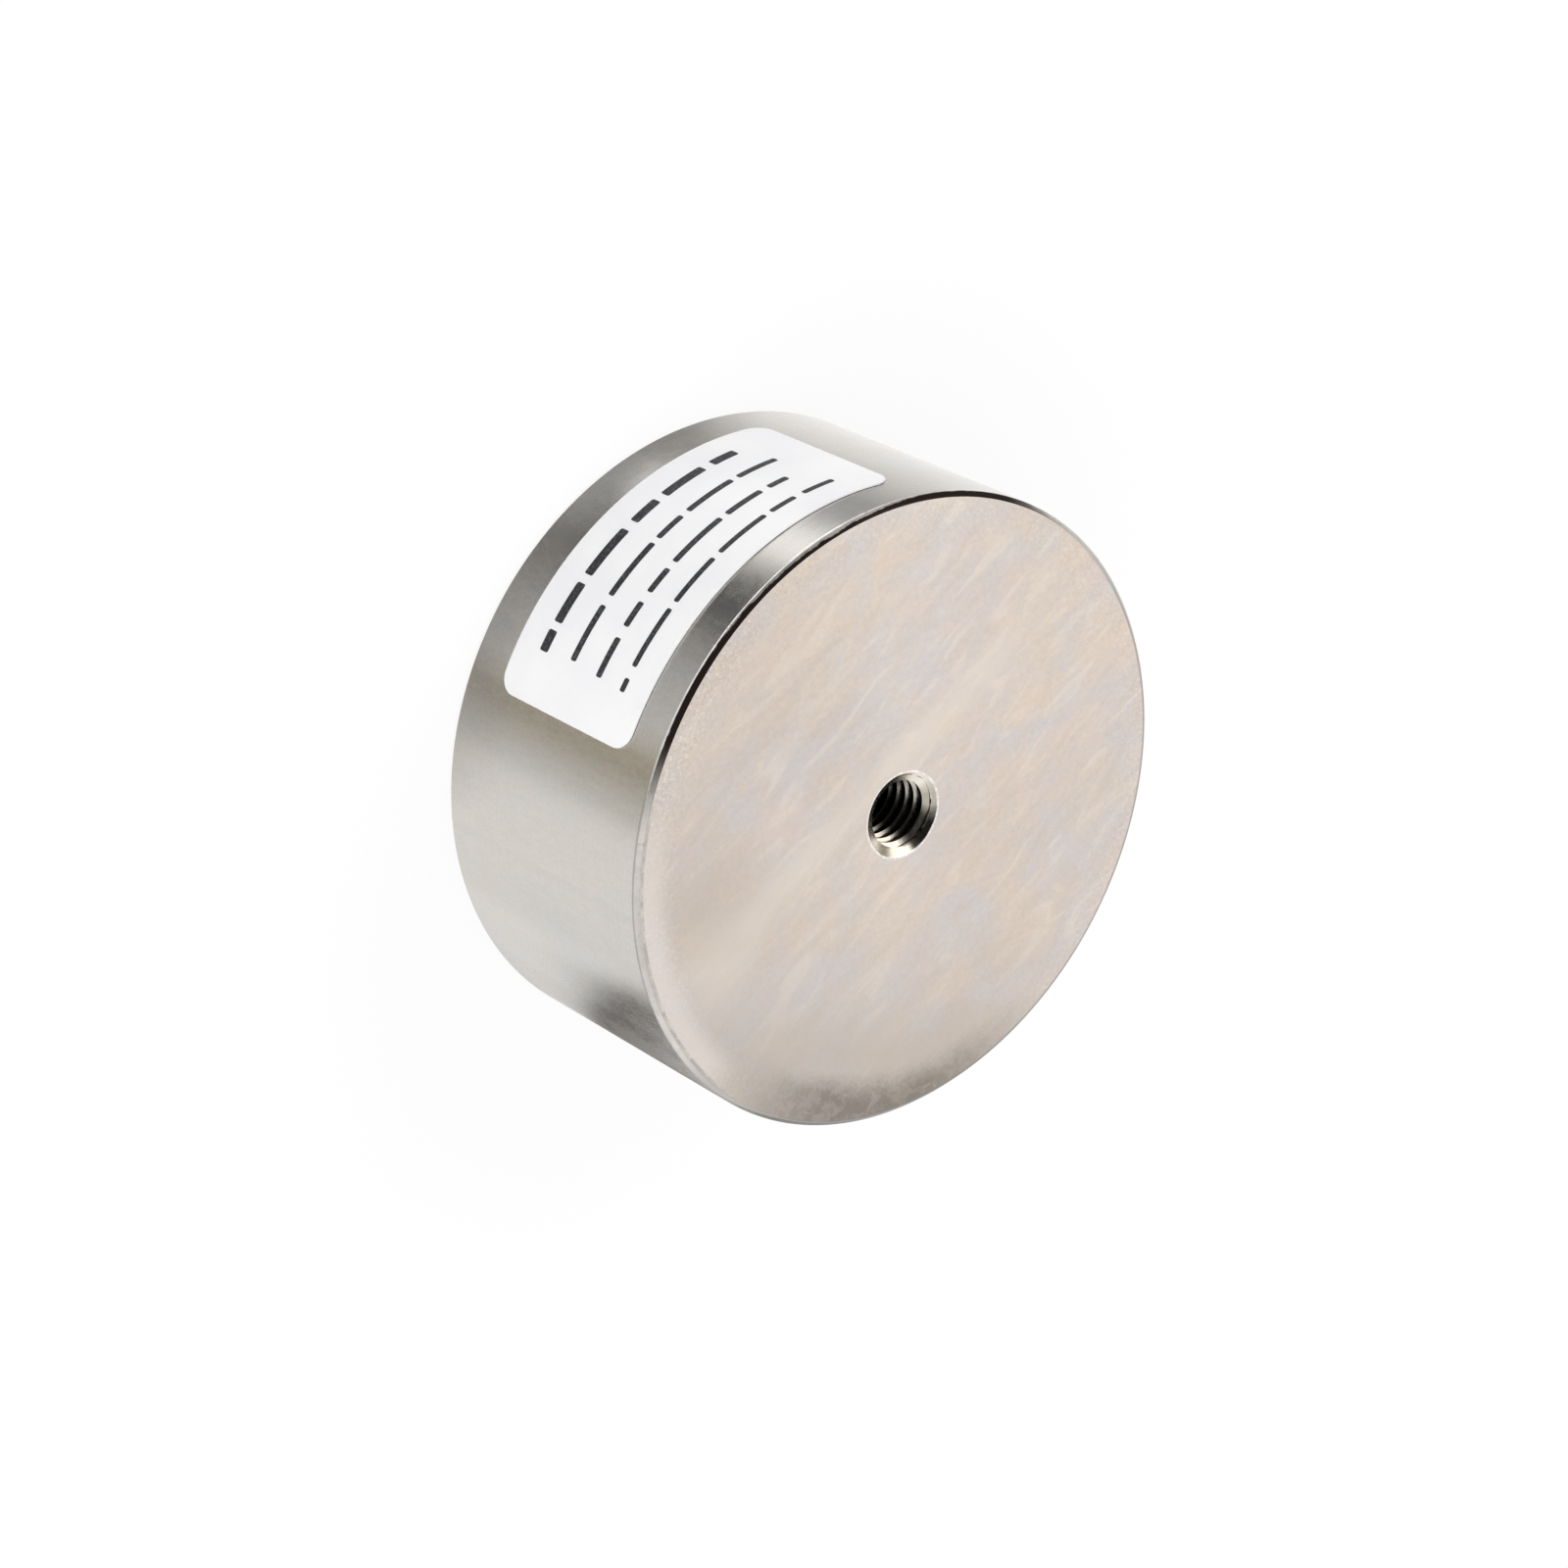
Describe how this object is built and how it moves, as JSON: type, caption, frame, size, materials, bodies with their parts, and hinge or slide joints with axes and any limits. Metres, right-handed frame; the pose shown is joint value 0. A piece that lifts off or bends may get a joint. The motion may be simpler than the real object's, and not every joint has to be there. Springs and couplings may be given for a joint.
{
  "type": "holding electromagnet",
  "caption": "Round pot-type holding electromagnet with an encapsulated coil, a flat holding face and a central tapped fixing hole.",
  "frame": {"origin": "centre of the core's pole face, in the plane of the holding face", "axes": "+Z along the magnet's axis from the holding face to the mounting face; -Y towards the lead exit; the sticker is on the side that faces +X"},
  "size_m": [0.0652, 0.065, 0.03],
  "materials": {
    "nickel_plated_steel": "bright nickel plate over turned steel",
    "cast_resin": "cast epoxy, satin",
    "pressboard": "pressed insulating board",
    "bobbin_nylon": "moulded natural nylon",
    "wound_copper": "enamelled wire in rows",
    "coil_tape_film": "polyester film tape",
    "enamelled_copper": "enamelled wire",
    "solder": "solder",
    "glass_fibre_sleeve": "varnished glass-fibre sleeve",
    "bare_copper": "bare stranded copper",
    "red_lead_insulation": "extruded insulation",
    "black_lead_insulation": "extruded insulation",
    "bush_nylon": "moulded black nylon",
    "sticker_film": "white self-adhesive film"
  },
  "bodies": {
    "root": {"pot_body": "nickel_plated_steel", "resin_face": "cast_resin", "floor_washer": "pressboard", "bobbin": "bobbin_nylon", "coil_winding": "wound_copper", "coil_tape": "coil_tape_film", "start_tail": "enamelled_copper", "finish_tail": "enamelled_copper", "start_splice": "solder", "finish_splice": "solder", "start_sleeve": "glass_fibre_sleeve", "finish_sleeve": "glass_fibre_sleeve", "start_lead_core": "bare_copper", "finish_lead_core": "bare_copper", "start_lead": "red_lead_insulation", "finish_lead": "black_lead_insulation", "lead_bush": "bush_nylon", "side_sticker": "sticker_film"}
  },
  "joints": []
}
